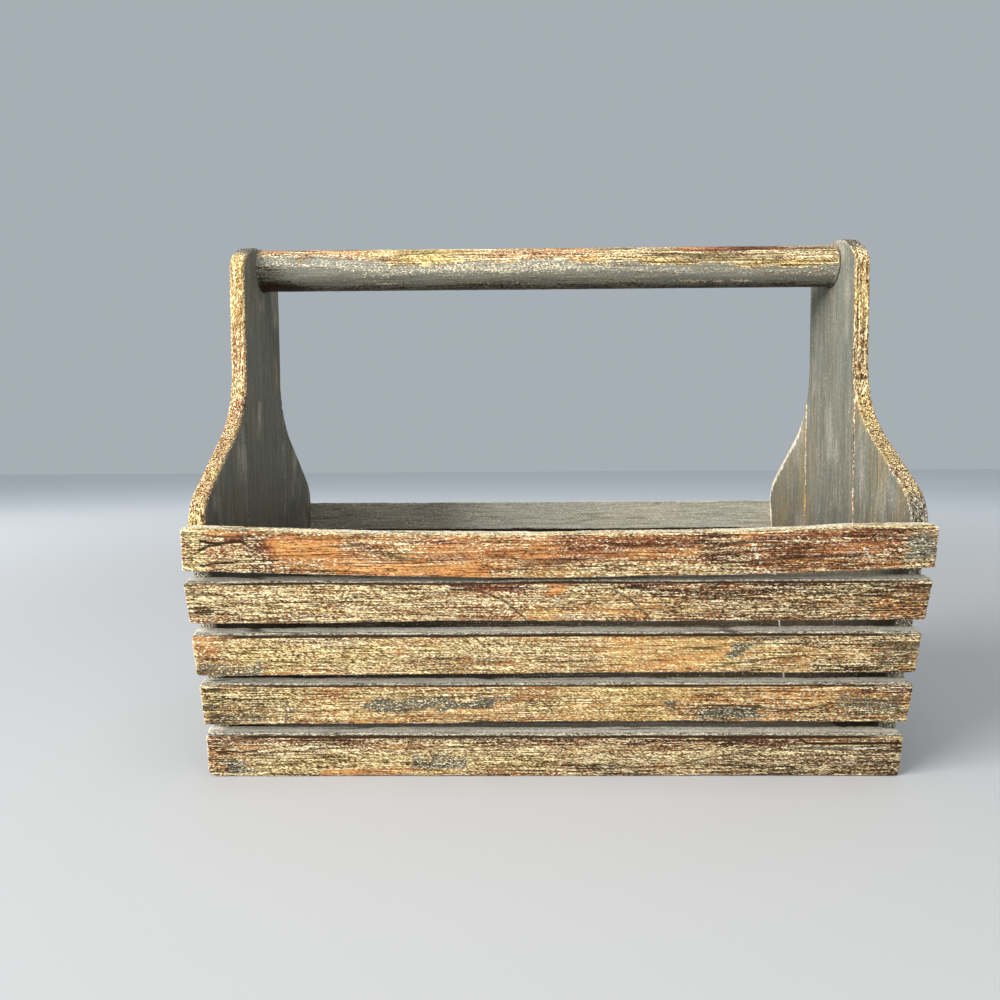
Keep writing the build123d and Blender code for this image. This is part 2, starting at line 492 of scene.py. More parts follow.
def worn_finish(name, along, fine=1.0, flecks=0.0):
    """Layered worn finish on sawn wood whose grain runs along an axis: 0 for X or 2 for Z.

    The painted layer called coat holds how much cream paint, grey paint, warmth and darkness each point
    has, and the one called wear how pale its edge is, how deep its cracks are, with painted shade under a
    slat, how much pale dust lies on it and how free of dirt and painted shade it is. flecks scatters more
    pale flecks over the grey paint.
    """
    g = Graph(name)

    def size(length, width):
        cell = [width * mm] * 3
        cell[along] = length * mm
        return cell

    creamy, greyed, warm, dark = g.channels("coat")
    pale, cracks_and_painted_shade, dusty, clean_and_unshaded = g.channels("wear")
    lines = g.noise(size(26, 0.80), 3, 0.6)
    streaks = g.noise(size(60, 3.4), 3, 0.6, shift=2.1)
    grains = g.noise(size(1.7 * fine, 0.82 * fine), 2, 0.7, shift=7.7)
    pits = g.noise(size(2.6 * fine, 0.90 * fine), 2, 0.65, shift=11.3)
    hatch = g.noise(size(7, 0.85), 2, 0.6, turn=hatch_turn, shift=1.3)
    scores = g.noise(size(42, 0.62), 2, 0.5, shift=5.2)
    rough = g.step(g.blend((0.46, grains), (0.27, lines), (0.27, hatch)), 0.36, 0.64, "LINEAR")

    # Bare wood, from dark brown to straw
    tone = g.blend((1.0, warm), (0.42, g.minus(streaks, 0.5)), (0.36, g.minus(rough, 0.5)))
    stops = (umber, maroon, russet, amber, tangerine, honey, straw)
    colour = g.ramp(tone, list(zip(wood_stop_shares, stops)))

    # Cream paint, left as specks and flakes
    flaked = g.step(g.blend((0.58, grains), (0.42, lines), (1.0, creamy)), 0.95, 1.04)
    body = g.ramp(rough, list(zip(cream_stop_shares, (cream_shadow, cream_middle, cream, cream_light))))
    body = g.mix(g.step(warm, 0.4, 0.8), body, g.mix(1.0, body, butter_tint, "MULTIPLY"))
    colour = g.mix(flaked, colour, body)

    # Grey paint in patches over it, with pale flecks
    covered = g.step(g.blend((0.50, pits), (0.28, streaks), (0.22, lines), (1.0, greyed)), 0.93, 1.07)
    shaded = g.ramp(warm, list(zip(paint_stop_shares, (paint_cool, paint_pale, paint_tan))))
    brushed = g.step(g.blend((0.42, lines), (0.33, streaks), (0.25, grains)), 0.18, 0.82, "LINEAR")
    coat = g.mix(brushed, paint_dark, shaded)
    fleck = g.step(g.blend((1.0, grains), (0.55, creamy)), 0.97 - flecks, 1.07 - flecks)
    coat = g.mix(g.times(dusty, g.step(rough, -0.5, 1.0, "LINEAR")), coat, dust)
    # Where the wear layer's last channel is low the grey coat goes toward night: dirt on the front slats'
    # grey patches, and painted shade inside the basket
    coat = g.mix(g.minus(1.0, clean_and_unshaded), coat, night)
    coat = g.mix(fleck, coat, fleck_cream)
    colour = g.mix(covered, colour, coat)

    # Pale raised grain, pale chips on the edges, then dark pores, cracks and painted shade
    open_wood = g.minus(0.8, g.times(covered, 0.6))
    raised = g.times(g.step(g.minus(1.0, scores), 0.68, 0.84), g.step(grains, 0.35, 0.65))
    colour = g.mix(g.times(raised, open_wood), colour, chalk)
    chipped = g.step(g.blend((0.6, grains), (1.0, pale)), 0.75, 0.95)
    colour = g.mix(chipped, colour, chalk)
    hollow = g.blend((0.52, g.minus(1.0, pits)), (0.48, g.minus(1.0, lines)), (1.0, dark))
    hollowed = g.times(g.step(hollow, 1.0, 1.08), 0.93)
    scored = g.times(g.step(scores, 0.72, 0.84), open_wood)
    shade = g.math("MAXIMUM", g.math("MAXIMUM", hollowed, scored), cracks_and_painted_shade, clamp=True)
    colour = g.mix(shade, colour, night)

    height = g.blend((0.5, flaked), (0.3, covered), (0.35, rough), (0.3, fleck), (-0.8, shade))
    return g.close(colour, g.minus(0.85, g.times(covered, 0.15)), height, finish_depth)


def dull_steel(name, metal, rust):
    """Old steel with spots of rust or paint."""
    g = Graph(name)
    spots = g.noise((rust_spot,) * 3, 3, 0.6)
    colour = g.mix(g.step(spots, 0.35, 0.65), metal, rust)
    return g.close(colour, g.math("ADD", 0.45, g.times(spots, 0.3)), spots, rust_depth, Metallic=0.6)


# Slats and bottom boards

coat_layers = ("cream", "grey", "warm", "dark")
# Patches on the front faces, in hundredths: ends from the left, edges from the lower one, and how much is
# added to a layer
front_patch_shares = {
    1: {
        "cream": [(0, 3, 0, 100, 40), (3.5, 10, 0, 75, 15), (15, 32, 50, 100, 11), (12, 21, 40, 90, -20),
                 (20.5, 41, 5, 30, -40), (44, 75, 0, 35, 17), (95.5, 100, 0, 100, 16),
                 (76, 93, 85, 100, -15)],
        "grey": [(36.5, 39, 30, 55, 26), (94.8, 100, 25, 85, 48)],
        "warm": [(0, 3.5, 0, 100, 12), (9, 12.5, 0, 90, -30), (60, 70, 20, 75, 14), (12, 21, 45, 85, 13),
                 (20.5, 41, 5, 30, 15), (25, 50, 30, 90, 5), (50, 95, 30, 100, -13),
                 (73.5, 77, 65, 100, 23), (54, 62, 30, 65, 9), (46, 54, 0, 35, 9)],
        "dark": [(2.5, 9.5, 55, 80, -6), (14, 28, 0, 35, 3), (22, 31, 35, 100, -4), (53, 70, 20, 80, -5),
                 (44, 60, 0, 35, -6), (83, 90, 35, 70, -5), (83, 92, 75, 100, 4), (69, 74, 50, 80, 12),
                 (54, 62, 30, 65, -6), (86, 92, 35, 65, -6)],
    },
    2: {
        "cream": [(0, 35, 10, 95, 7), (36, 47, 78, 100, -18), (49.7, 51.5, 62, 100, -50),
                 (60, 90, 75, 100, -8), (93, 100, 0, 100, -10)],
        "grey": [(45.5, 49, 30, 60, 26), (66, 76, 50, 80, 26), (76, 95, 0, 45, 21)],
        "warm": [(0, 35, 0, 100, 5), (61, 70, 20, 65, 10), (36, 47, 78, 100, -24),
                 (49.5, 51.8, 60, 100, 24), (46, 50.5, 0, 28, 22), (52, 62, 20, 70, 6),
                 (60, 95, 70, 100, -22), (93, 100, 10, 100, 7), (53, 64, 20, 65, 8)],
        "dark": [(0, 35, 0, 100, 3), (49.5, 51.8, 60, 100, -5), (30, 52, 0, 30, -5), (60, 90, 40, 95, 5),
                 (92, 100, 0, 90, 6), (95, 100, 0, 40, 4), (0, 3, 25, 75, 6), (34, 42, 0, 100, -4),
                 (58, 64, 0, 65, -4)],
    },
    3: {
        "cream": [(0, 5, 50, 100, -9), (6, 27, 20, 80, 25), (30, 50, 50, 90, 15), (57, 74.5, 10, 95, -6),
                 (4, 14, 30, 80, 14), (74.2, 77, 35, 85, 2)],
        "grey": [(0, 10, 0, 35, 40), (28, 42, 15, 50, 30), (74.2, 77, 35, 85, 54), (94, 100, 20, 80, 34)],
        "warm": [(0, 5, 55, 100, 2), (6, 27, 20, 80, 10), (12, 30, 85, 100, -18), (57, 75.5, 10, 95, 17),
                 (76, 90, 30, 70, 7), (76, 95, 75, 95, -18), (85, 97, 0, 30, -20), (66, 74, 40, 100, 6)],
        "dark": [(28, 42, 10, 50, 10), (52, 68, 0, 100, -4), (46, 73, 65, 100, -5), (68, 78, 30, 100, -7),
                 (4, 30, 30, 100, -4), (76, 95, 60, 95, 5), (85, 100, 0, 40, 12), (66, 74, 40, 100, -6),
                 (5, 13, 30, 80, -5)],
    },
    4: {
        "cream": [(0, 14, 10, 90, 22), (20, 40, 65, 85, 25), (45.5, 50, 20, 50, 22), (50, 66, 0, 90, 10),
                 (57, 65, 20, 80, 6)],
        "grey": [(0, 15, 0, 60, 28), (23.5, 41, 35, 70, 44), (40, 46, 40, 75, 34), (65, 67.5, 25, 65, 44),
                 (70, 80, 12, 45, 47), (89, 100, 10, 80, 30)],
        "warm": [(12, 24, 10, 80, 7), (20, 38, 0, 25, 10), (50, 66, 0, 100, 8), (59, 69, 0, 100, 8),
                 (62, 80, 60, 100, 12), (80, 90, 20, 80, 5), (93, 100, 80, 100, -25)],
        "dark": [(0, 10, 0, 90, 8), (0, 3.5, 0, 100, 5), (50, 70, 0, 100, -8), (44, 68, 65, 100, -5),
                 (59, 69, 0, 100, -5), (44, 50, 60, 100, -5)],
    },
    5: {
        "cream": [(0, 97, 86, 100, -5), (7, 50, 20, 60, 22), (16, 30, 0, 20, -15), (38, 60, 20, 70, 15),
                 (62, 72, 30, 70, 15), (3, 14, 0, 35, 20), (62, 85, 78, 95, -14), (74, 95, 60, 80, 15)],
        "grey": [(2, 7, 10, 45, 42), (30, 38.5, 15, 50, 42), (42, 47, 70, 90, 30), (50, 66, 10, 45, 21),
                 (70, 100, 0, 50, 17)],
        "warm": [(0, 97, 84, 100, -18), (7, 24, 60, 85, -18), (6, 50, 20, 60, 10), (16, 36, 0, 20, 10),
                 (70, 73, 70, 100, 17), (62, 85, 78, 95, -14), (74, 100, 20, 80, -15)],
        "dark": [(53, 62, 0, 35, 8), (48, 76, 30, 70, -6), (72, 95, 30, 80, -3), (80, 100, 0, 30, 5),
                 (94, 100, 0, 90, 6), (68, 76, 75, 100, 10), (5, 14, 0, 35, -6), (0, 4, 0, 100, 8),
                 (94, 100, 0, 35, -7), (5, 12, 0, 100, -5)],
    },
}
# What each front face has before its patches: cream, grey, warmth and darkness
front_base_shares = {
    1: (0.40, 0.10, 0.47, 0.36),
    2: (0.54, 0.12, 0.46, 0.385),
    3: (0.57, 0.10, 0.54, 0.315),
    4: (0.51, 0.14, 0.55, 0.375),
    5: (0.53, 0.14, 0.48, 0.40),
}
# How much each layer wanders from its base
mottle_shares = {"cream": 0.10, "warm": 0.07, "dark": 0.05}
# How softly a patch ends along its face and across it
patch_end_share = 0.012
patch_edge_share = 0.09
# What the bottom boards have before their patches
bottom_base_shares = (0.15, 0.62, 0.36, 0.3)
# Cracks and grain lines on the front faces: depth, half width in millimetres, then places along and up
front_crack_shares = {
    1: [
        (1.00, 0.62, [(0.027, 0.74), (0.037, 0.70), (0.050, 0.67), (0.067, 0.73), (0.082, 0.75),
                      (0.088, 0.69)]),
        (1.00, 0.55, [(0.025, 0.50), (0.035, 0.60), (0.046, 0.65), (0.055, 0.67)]),
        (1.00, 0.50, [(0.026, 0.14), (0.031, 0.13), (0.040, 0.18), (0.054, 0.22), (0.071, 0.23)]),
        (0.70, 0.35, [(0.030, 0.88), (0.060, 0.84), (0.095, 0.87)]),
        (0.75, 0.45, [(0.69, 0.62), (0.72, 0.70), (0.745, 0.80)]),
        (0.75, 0.45, [(0.72, 0.28), (0.79, 0.33), (0.86, 0.36), (0.90, 0.34)]),
    ],
    2: [
        (0.80, 0.45, [(0.36, 0.84), (0.40, 0.78), (0.43, 0.54), (0.46, 0.05)]),
        (0.80, 0.45, [(0.575, 0.80), (0.60, 0.56), (0.628, 0.08)]),
        (0.55, 0.35, [(0.66, 0.78), (0.74, 0.76), (0.82, 0.78), (0.90, 0.72)]),
        (0.80, 0.45, [(0.90, 0.62), (0.94, 0.60), (0.97, 0.50), (0.995, 0.48)]),
        (0.80, 0.45, [(0.92, 0.88), (0.96, 0.80), (0.985, 0.84)]),
    ],
    3: [
        (0.75, 0.45, [(0.735, 0.22), (0.77, 0.28), (0.805, 0.38), (0.84, 0.41)]),
        (0.55, 0.30, [(0.02, 0.45), (0.07, 0.36), (0.14, 0.34)]),
    ],
    4: [
        (0.80, 0.45, [(0.667, 0.41), (0.686, 0.15), (0.699, 0.37), (0.715, 0.46), (0.747, 0.44),
                      (0.785, 0.39), (0.825, 0.31), (0.86, 0.34), (0.885, 0.48)]),
        (0.60, 0.30, [(0.20, 0.58), (0.26, 0.62), (0.33, 0.68), (0.40, 0.72)]),
    ],
    5: [
        (1.00, 0.68, [(0.853, 0.93), (0.863, 0.83), (0.922, 0.81), (0.995, 0.82)]),
        (0.75, 0.45, [(0.677, 0.24), (0.724, 0.46), (0.775, 0.58), (0.815, 0.74), (0.835, 0.92)]),
        (0.90, 0.45, [(0.03, 0.63), (0.05, 0.60), (0.072, 0.64)]),
        (0.60, 0.30, [(0.14, 0.62), (0.17, 0.72), (0.19, 0.86)]),
    ],
}
# Pale scratches on the front faces, in the same form
front_scratch_shares = {
    1: [
        (0.95, 0.50, [(0.757, 0.74), (0.763, 0.50), (0.768, 0.27)]),
        (0.85, 0.45, [(0.903, 0.56), (0.910, 0.38), (0.918, 0.20)]),
    ],
    5: [(0.80, 0.50, [(0.868, 0.72), (0.930, 0.70), (0.985, 0.72)])],
}
# How far each front slat's edges stand from straight: share of the length, then offset in millimetres
top_edge_bends = {
    1: [(0, 1.0), (0.06, 0.4), (0.14, -1.4), (0.24, -3.2), (0.34, -3.6), (0.43, -4.1), (0.51, -4.0),
        (0.6, -3.8), (0.67, -3.3), (0.74, -3.0), (0.82, -2.0), (0.91, 0.2), (1, 0.4)],
    2: [(0, 1.3), (0.14, 1.7), (0.24, 1.2), (0.43, 1.1), (0.51, 1.5), (0.8, 1.2), (1, 1.4)],
    3: [(0, 1.5), (0.25, 1.5), (0.5, 1.8), (1, 1.8)],
    4: [(0, 1.9), (1, 1.6)],
    5: [(0, 0.3), (0.5, 0.1), (1, -0.2)],
}
bottom_edge_bends = {
    1: [(0, -0.5), (0.18, -3.8), (0.26, -5.0), (0.34, -5.6), (0.48, -6.6), (0.6, -5.7), (0.67, -5.3),
        (0.74, -4.4), (0.82, -3.2), (0.91, -2.1), (1, -0.2)],
    2: [(0, -0.9), (0.12, -0.2), (0.33, 0.9), (0.6, 1.0), (1, 0.4)],
    3: [(0, -2.2), (0.08, -1.7), (0.3, -0.3), (0.5, 0.2), (0.8, 0.1), (1, -0.2)],
    4: [(0, -2.0), (0.1, -1.5), (0.25, -0.8), (0.5, 0.4), (0.8, 0.7), (1, -0.2)],
    5: [(0, -1.6), (1, -0.8)],
}
# Width in millimetres of the dark line under each slat's upper arris
arris_line_widths = {1: 0.0, 2: 1.1, 3: 1.3, 4: 0.9, 5: 1.3}
# Millimetres by which each front slat's inner upper edge stands above its outer one
inner_lifts = {1: 0, 2: 0.8, 3: 1.3, 4: 0.6, 5: 1.3}
# Millimetres by which each front slat's ends pass the nominal length: the lower two, then the upper two,
# each from the left
end_shifts = {1: (1.2, 0.9, -1.1, 0.0), 2: (1.5, 0.8, 1.5, 1.4), 3: (2.0, 0.4, 1.2, 0.4),
              4: (1.1, -0.3, 1.1, 0.6), 5: (2.6, 0.9, 1.3, -0.1)}
# Corner radii of each front slat's face in millimetres, in the same order
corner_radii = {1: (1.2, 0.8, 0.9, 1.4), 2: (0.8, 1.0, 1.6, 0.8), 3: (1.6, 2.6, 2.2, 1.4),
                4: (1.2, 1.6, 2.2, 2.6), 5: (7.0, 1.2, 1.2, 2.0)}


def slat_rows():
    """Run along the slope and width of each slat, from the top one down."""
    rows = [(foot_slat_width + slat_gap + n * slat_pitch, slat_width) for n in range(slats_a_side - 1)]
    return rows[::-1] + [(0, foot_slat_width)]


def patched(points, length, width, base, patches, seed):
    """The coat of a face along X: its base with each patch's share added, with ragged edges."""
    x, _, z = points.T
    wander = rough_noise(points, (22, 6, 6), seed)
    u = x / length + 0.5 + 0.014 * wander
    v = z / width + 0.13 * rough_noise(points, (12, 4, 4), seed + 9)
    coat = {layer: np.full(len(points), value) for layer, value in zip(coat_layers, base)}
    for shift, (layer, amount) in enumerate(mottle_shares.items()):
        coat[layer] += amount * rough_noise(points, (36, 7, 7), seed + 31 + 7 * shift)
    for layer, spots in patches.items():
        for spot in spots:
            left, right, lower, upper, amount = (part / 100 for part in spot)
            low_edge = -1 if lower <= 0 else lower
            high_edge = 2 if upper >= 1 else upper
            inside = between(u, left, right, patch_end_share)
            inside *= between(v, low_edge, high_edge, patch_edge_share)
            coat[layer] += amount * inside
    return [coat[layer] for layer in coat_layers]


def round_corners(points, length, width, radii):
    """Rounds the four corners of a bar's face by these radii: lower left, lower right and the upper two."""
    x, _, z = points.T
    for index, radius in enumerate(radii):
        side_x = 1 if index % 2 else -1
        side_z = 1 if index > 1 else -1
        reach = radius * mm
        across = side_x * x - (length / 2 - reach)
        up = side_z * (z - width / 2) - (width / 2 - reach)
        distance = np.hypot(across, up)
        outside = (across > 0) & (up > 0) & (distance > reach)
        shrink = np.where(outside, reach / np.maximum(distance, reach), 1)
        x += side_x * across * (shrink - 1)
        z += side_z * up * (shrink - 1)


def line_marks(points, length, width, drawn):
    """How deep each point of the outer face lies in the drawn lines."""
    x, y, z = points.T
    places = np.stack([x + length / 2, z], -1)
    wobble = rough_noise(points, (5, 3, 3), 71)
    marks = np.zeros(len(points))
    for depth, half_width, line in drawn:
        line = [(u * length, v * width) for u, v in line]
        away = line_distance(places, line) + 0.12 * mm * wobble
        marks = np.maximum(marks, depth * fade(away, half_width * 0.8 * mm, half_width * 2.2 * mm))
    return marks * (y < 1 * mm)


def bar_mesh(length, width, thickness, seed, coarse=1.0, worn=1.0, corners=(1, 1, 1, 1)):
    """A rough-sawn bar along X, its outer face at y = 0 and its lower edge at z = 0.

    Returns its points, its quads, the points' outward directions and how deep its cracks are.
    """
    xs = ruled(-length / 2, length / 2, along_grain * coarse, end_zone, near_end * coarse)
    ys = ruled(0, thickness, across_grain * 1.3 * coarse)
    zs = ruled(0, width, across_grain * coarse)
    points, quads = box_grid(xs, ys, zs)

    # Corners worn by different amounts along each of the four long edges
    edge = (points[:, 1] > thickness / 2) * 2 + (points[:, 2] > width / 2)
    spot = np.stack([points[:, 0], edge * 0.5, np.zeros(len(points))], -1)
    wear = rough_noise(spot, (17, 500, 1000), seed + 40, 4)
    chips = soft_noise(spot, (3.4, 500, 1000), seed + 44)
    chips += 0.5 * soft_noise(spot, (1.6, 500, 1000), seed + 45)
    radius = (0.6 + worn * (0.9 * rise(wear, 0.0, 0.7) + 0.9 * rise(chips, 0.35, 1.0))) * mm
    at_end = rise(np.abs(points[:, 0]), length / 2 - worn_end_reach, length / 2)
    corner = np.stack([edge, np.sign(points[:, 0]).astype(int), edge], -1).astype(np.int64)
    radius = radius + at_end * (0.5 + 0.9 * hashed(corner, seed) ** 2) * mm
    low, high = np.array((-length / 2, 0, 0)), np.array((length / 2, thickness, width))
    points, normals = rounded(points, low, high, radius)
    round_corners(points, length, width, corners)

    # Sawn ridges, torn fibres and long cracks
    ridges = rough_noise(points, (55, 2.4, 2.4), seed, 2)
    fibres = rough_noise(points, (9, 0.9, 0.9), seed + 3, 2)
    waves = soft_noise(points, (60, 30, 30), seed + 5)
    line = np.abs(soft_noise(points, (75, 3.2, 3.2), seed + 7))
    where = rise(rough_noise(points, (45, 9, 9), seed + 8), 0.1, 0.5)
    cracks = fade(line, 0.03, 0.2) * where
    relief = (0.15 * ridges + 0.14 * fibres + 0.22 * waves - 0.42 * cracks) * mm
    relief -= 0.25 * mm * at_end * rise(fibres, 0.1, 0.6)
    points = points + normals * relief[:, None]
    return points, quads, normals, cracks


def dent_nails(points, places, depth):
    """Pushes the outer face in round each nail head and returns how stained each point is by it."""
    stain = np.zeros(len(points))
    outer = points[:, 1] < nail_depth_reach
    for x, z in places:
        reach = np.hypot(points[:, 0] - x, points[:, 2] - z)
        hole = fade(reach, nail_head_diameter * 0.5, nail_head_diameter * 0.72) * outer
        points[:, 1] += np.where(hole > 0, hole * np.maximum(depth - points[:, 1], 0), 0)
        stain = np.maximum(stain, fade(reach, nail_head_diameter * 0.45, nail_head_diameter) * outer)
    return stain


def random_patches(rng, count):
    """Patches for a face that the photograph doesn't show, in hundredths like the front ones."""
    patches = {layer: [] for layer in coat_layers}
    for _ in range(count):
        layer = rng.choice(["cream", "grey", "warm", "warm", "dark"])
        left, lower = rng.uniform(-5, 95), rng.uniform(-30, 80)
        amounts = {"cream": rng.uniform(-30, 30), "grey": rng.uniform(20, 60),
                   "warm": rng.uniform(-35, 40), "dark": rng.uniform(2, 12)}
        right, upper = left + rng.uniform(3, 30), lower + rng.uniform(25, 70)
        patches[layer].append((left, right, lower, upper, amounts[layer]))
    return patches


def bar_coat(points, normals, outer, seed, worn_top=0.0, inner_shade=0.0):
    """The coat of all faces of a bar, from the coat of its outer face.

    worn_top bares the upper face, and the last argument darkens the inner face with painted shade.
    """
    face = rise(-normals[:, 1], 0.35, 0.8)
    top = rise(normals[:, 2], 0.35, 0.8)
    under = rise(-normals[:, 2], 0.35, 0.8)
    ends = rise(np.abs(normals[:, 0]), 0.35, 0.8)
    inside = rise(normals[:, 1], 0.35, 0.8)
    near_front = fade(points[:, 1], *front_stretch)
    drift = rough_noise(points, (30, 5, 5), seed + 60)
    bare = worn_top + 0.5 * near_front
    top_grey = 0.88 - 0.50 * bare + 0.12 * drift
    # The inner face's darkness includes painted shade
    parts = [
        (face, outer),
        (top, (0.10 + 0.75 * bare, top_grey, 0.42 + 0.2 * worn_top, 0.16 + 0.28 * near_front)),
        (under, (0.2 + 0.3 * near_front, 0.55 - 0.2 * near_front, 0.4, 0.3)),
        (ends, (0.42 + 0.2 * drift, 0.35 + 0.2 * drift, 0.42, 0.32)),
        (inside, (0.03 + 0.1 * drift, 0.86 + 0.2 * drift, 0.42 + 0.25 * drift, 0.02 + inner_shade)),
    ]
    total = sum(weight for weight, _ in parts) + 1e-6
    return [sum(weight * values[channel] for weight, values in parts) / total for channel in range(4)]


def on_side(points, turn, run):
    """Bar points laid on the front side, or on the back one where turn is true, run up the slope."""
    slanted = points.copy()
    slanted[:, 1] = points[:, 1] * cos(side_slope) - (points[:, 2] + run) * sin(side_slope) - foot_half
    slanted[:, 2] = points[:, 1] * sin(side_slope) + (points[:, 2] + run) * cos(side_slope)
    if turn:
        slanted[:, :2] *= -1
    return slanted


def bend_edges(points, width, top, bottom, length):
    """Moves the upper and lower edges of a bar by these offsets, given along its length."""
    x, _, z = points.T
    share = x / length + 0.5

    def offset(bends):
        xs, values = zip(*bends)
        steps = np.linspace(0, 1, 201)
        line = np.interp(steps, xs, values)
        soft = np.convolve(np.pad(line, 12, mode="edge"), np.hanning(25) / np.hanning(25).sum(), "valid")
        return np.interp(share, steps, soft)

    lift = z / width
    z += (offset(top) * lift + offset(bottom) * (1 - lift)) * mm


def move_ends(points, width, shifts):
    """Moves a bar's ends outward by these amounts: lower left, lower right and the upper two."""
    x, _, z = points.T
    share = np.clip(z / width, 0, 1)
    for side, lower, upper in ((-1, shifts[0], shifts[2]), (1, shifts[1], shifts[3])):
        reach = np.clip(side * x / (slat_length / 2), 0, 1)
        x += side * reach * (lower * (1 - share) + upper * share) * mm


def warp_slat(points, number, width, front):
    """Bends a slat out of true: a front one by its own edges, and the upper three back ones a little."""
    x, y, z = points.T
    if front:
        lift = np.clip(z / width, 0, 1)
        bend_edges(points, width, top_edge_bends[number], bottom_edge_bends[number], slat_length)
        move_ends(points, width, end_shifts[number])
        z += inner_lifts[number] * mm * lift * y / slat_thickness
    elif number < 3:
        share = z / width
        bow = np.cos(pi * x / slat_length)
        low_drop = 0.2 * back_sag + underside_drop * (1 - y / slat_thickness)
        z += bow * (low_drop * (share - 1) if number == 1 else back_sag * share)
    elif number == 3:
        z += back_lift * rise(x, *back_lift_stretch) * z / width
        z += back_lift * 0.6


def settle_patches(points, outer):
    """Lets grey paint cover the cream under it, a little warmer, and darkens the face to the right."""
    patchy = rise(outer[1], 0.30, 0.50)
    outer[0] = outer[0] - patchy * (0.06 + 0.8 * np.maximum(outer[0] - 0.56, 0))
    outer[1] = outer[1] + 0.09 * patchy
    outer[2] = outer[2] + 0.22 * patchy
    outer[3] = outer[3] + right_soot * rise(points[:, 0], *soot_stretch)


def arris_lines(points, normals, number, width, seed):
    """How far each point lies in the dark line under the upper arris, and in the pale ones beside it."""
    y, z = points.T[1:]
    below = width - z + 0.25 * mm * rough_noise(points, (14, 2, 2), seed + 73)
    reach = arris_line_widths[number] * mm
    outer = y < arris_line_depth
    dark_line = fade(below, reach - 0.3 * mm, reach + 0.3 * mm) * outer
    lit_line = bell(below - reach - lit_line_drop, lit_line_reach) * outer
    speckled = bell(y - speckle_depth, speckle_reach) * rise(normals[:, 2], 0.4, 0.8)
    return dark_line, np.maximum(0.68 * speckled, 0.48 * lit_line)


def make_slats(side, material):
    """The five slats of one side."""
    front = side == "front"
    for number, (run, width) in enumerate(slat_rows(), start=1):
        name = f"{side}_slat_{number}"
        seed = number * 100 + (0 if front else 50)
        rng = np.random.default_rng(seed)
        corners = corner_radii[number] if front else rng.uniform(0.7, 2.4, 4)
        bar = bar_mesh(slat_length, width, slat_thickness, seed, 1, slat_wear, corners)
        points, quads, normals, cracks = bar
        x, y, z = points.T
        nails = [(end * end_mid_x, share * width) for end in (-1, 1) for share in slat_nail_shares]
        stain = dent_nails(points, nails, nail_set)
        patches = front_patch_shares[number] if front else random_patches(rng, 16)
        outer = patched(points, slat_length, width, front_base_shares[number], patches, seed + 20)
        if front:
            settle_patches(points, outer)
        worn_top = 0.6 if front and number == 1 else 0.0
        # Slats 2 to 5 get darker paint on their inner faces: painted shade inside the basket
        coat = bar_coat(points, normals, outer, seed, worn_top, 0.0 if number == 1 else 0.3)
        blunt = np.sum(normals**4, axis=1)
        low_arris = (z < arris_reach) * (y < arris_reach)
        from_end = slat_length / 2 - np.abs(x)
        pale = fade(blunt, 0.7, 0.985) * (0.3 + 0.3 * low_arris + 0.36 * fade(from_end, *chipped_stretch))
        if front:
            drawn = line_marks(points, slat_length, width, front_crack_shares[number])
            points += normals * (-drawn_depth * drawn)[:, None]
            cracks = np.maximum(cracks, 1.25 * drawn)
            scratches = front_scratch_shares.get(number, [])
            pale = np.maximum(pale, line_marks(points, slat_length, width, scratches))
        dark_line, pale_line = arris_lines(points, normals, number, width, seed)
        if number > 1:
            pale = np.maximum(pale * (1 - dark_line), pale_line)
        warp_slat(points, number, width, front)
        z += 0.35 * mm * soft_noise(points, (70, 1000, 18), seed + 70)
        piece = make_object(f"worn_{name}", on_side(points, not front, run), quads.tolist())
        paint(piece, "coat", coat)

        inner = rise(normals[:, 1], 0.2, 0.6)
        lined = dark_line * rise(slat_length / 2 - np.abs(x), 0, unlined_end_reach)
        cracks_and_painted_shade = np.maximum(0.8 * cracks * (1 - 0.7 * inner), np.maximum(0.15 * stain, lined))
        shadowed = 0.0
        # Back slat 1 gets painted shade on its underside, and a painted shadow of the left end board on the
        # left of its inner face
        if number == 1 and not front:
            cracks_and_painted_shade = np.maximum(cracks_and_painted_shade, 0.88 * rise(-normals[:, 2], 0.3, 0.7))
            shadowed = 0.40 * inner * rise(x, *shadow_stretch)
        dusty = rise(normals[:, 2], 0.35, 0.8) * rise(y, *dust_stretch)
        dusty = dusty * (0.7 if number == 2 else 1) + 0.3 * inner * (number == 1)
        soiled = 0.52 * (number > 1) * rise(outer[1], 0.30, 0.50)
        soiled = soiled * fade(y, *soiled_stretch)
        # Painted shade on the inner faces of slats 2 to 5, deeper on slats 4 and 5; the grey patches of the
        # outer faces are darkened too
        painted_inner_shade = (0.6 if number < 4 else 0.85) * inner * (number > 1)
        clean_and_unshaded = (1 - painted_inner_shade) * (1 - soiled) * (1 - shadowed)
        paint(piece, "wear", [pale, cracks_and_painted_shade, dusty, clean_and_unshaded])
        finish_piece(piece, material, name)


